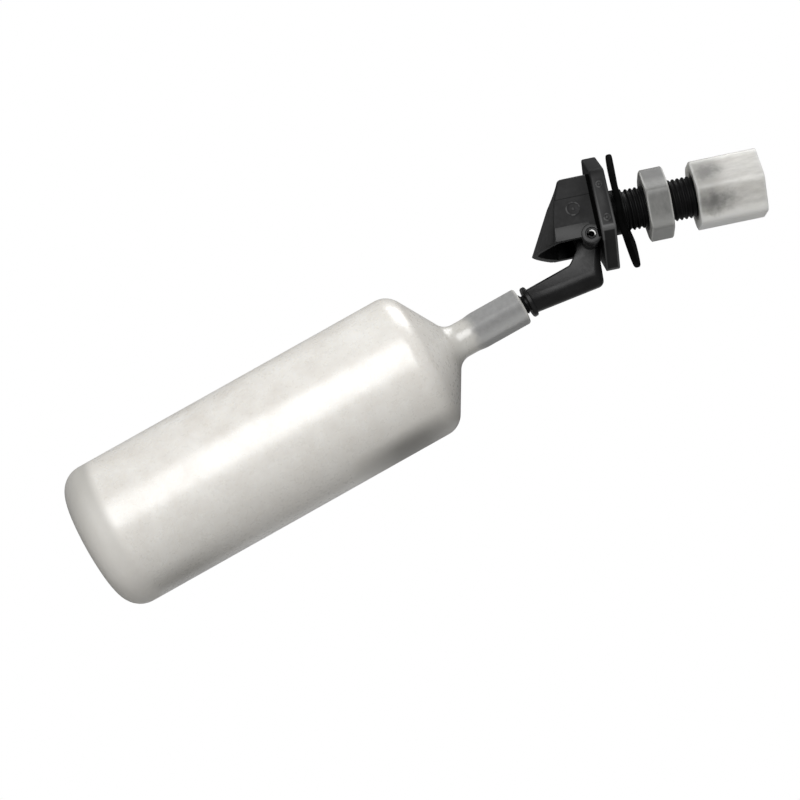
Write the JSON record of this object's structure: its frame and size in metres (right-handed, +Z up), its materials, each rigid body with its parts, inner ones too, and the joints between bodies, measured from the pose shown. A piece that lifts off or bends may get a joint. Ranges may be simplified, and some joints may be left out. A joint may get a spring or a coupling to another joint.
{
  "type": "float valve",
  "caption": "Bulkhead float valve: hooded body on a threaded stem, lever arm on a steel pin, hollow float, washer, clamp nut and tube compression nut.",
  "frame": {"origin": "centre of the hexagonal flange's sealing face, on the threaded stem's axis", "axes": "+X along the stem towards the tube inlet, +Z up as fitted in a tank wall, Y along the pivot pin"},
  "size_m": [0.1946, 0.04, 0.0924],
  "materials": {
    "black_plastic": "satin moulded black",
    "arm_plastic": "satin moulded black",
    "nozzle_acetal": "smooth off-white",
    "pin_steel": "bright stainless",
    "liner_acetal": "smooth white",
    "seal_rubber": "matte",
    "float_polyethylene": "natural, waxy satin",
    "black_rubber": "matte",
    "grey_nylon": "satin, slightly translucent",
    "white_acetal": "smooth white",
    "natural_polypropylene": "translucent natural"
  },
  "bodies": {
    "housing": {"valve_body": "black_plastic", "orifice_insert": "nozzle_acetal", "pivot_pin": "pin_steel", "tube_insert": "liner_acetal"},
    "float_lever": {"lever_arm": "arm_plastic", "seal_disc": "seal_rubber", "float_shell": "float_polyethylene"},
    "loose_washer": {"mounting_washer": "black_rubber"},
    "wall_nut": {"bulkhead_nut": "grey_nylon"},
    "tube_sleeve": {"compression_sleeve": "white_acetal"},
    "tube_nut": {"compression_nut": "natural_polypropylene"}
  },
  "joints": [
    {"name": "lever_pivot", "type": "hinge", "parent": "housing", "child": "float_lever", "pos_m": [-0.0065, 0, -0.007], "axis": [0, 1, 0], "range_deg": [0, 17.9]},
    {"name": "washer_slide", "type": "slide", "parent": "housing", "child": "loose_washer", "axis": [1, 0, 0], "range_m": [-0.0005, 0.0006]},
    {"name": "wall_nut_travel", "type": "slide", "parent": "housing", "child": "wall_nut", "axis": [1, 0, 0], "range_m": [-0.0036, 0.0066]},
    {"name": "tube_sleeve_travel", "type": "slide", "parent": "housing", "child": "tube_sleeve", "axis": [1, 0, 0], "range_m": [0, 0.0094]},
    {"name": "tube_nut_turn", "type": "hinge", "parent": "tube_sleeve", "child": "tube_nut", "pos_m": [0.0317, 0, 0], "axis": [1, 0, 0], "range_deg": [0, 2660]}
  ],
  "couplings": [
    {"joint": "tube_sleeve_travel", "follows": "tube_nut_turn", "m_per_rad": 0.00020213}
  ]
}
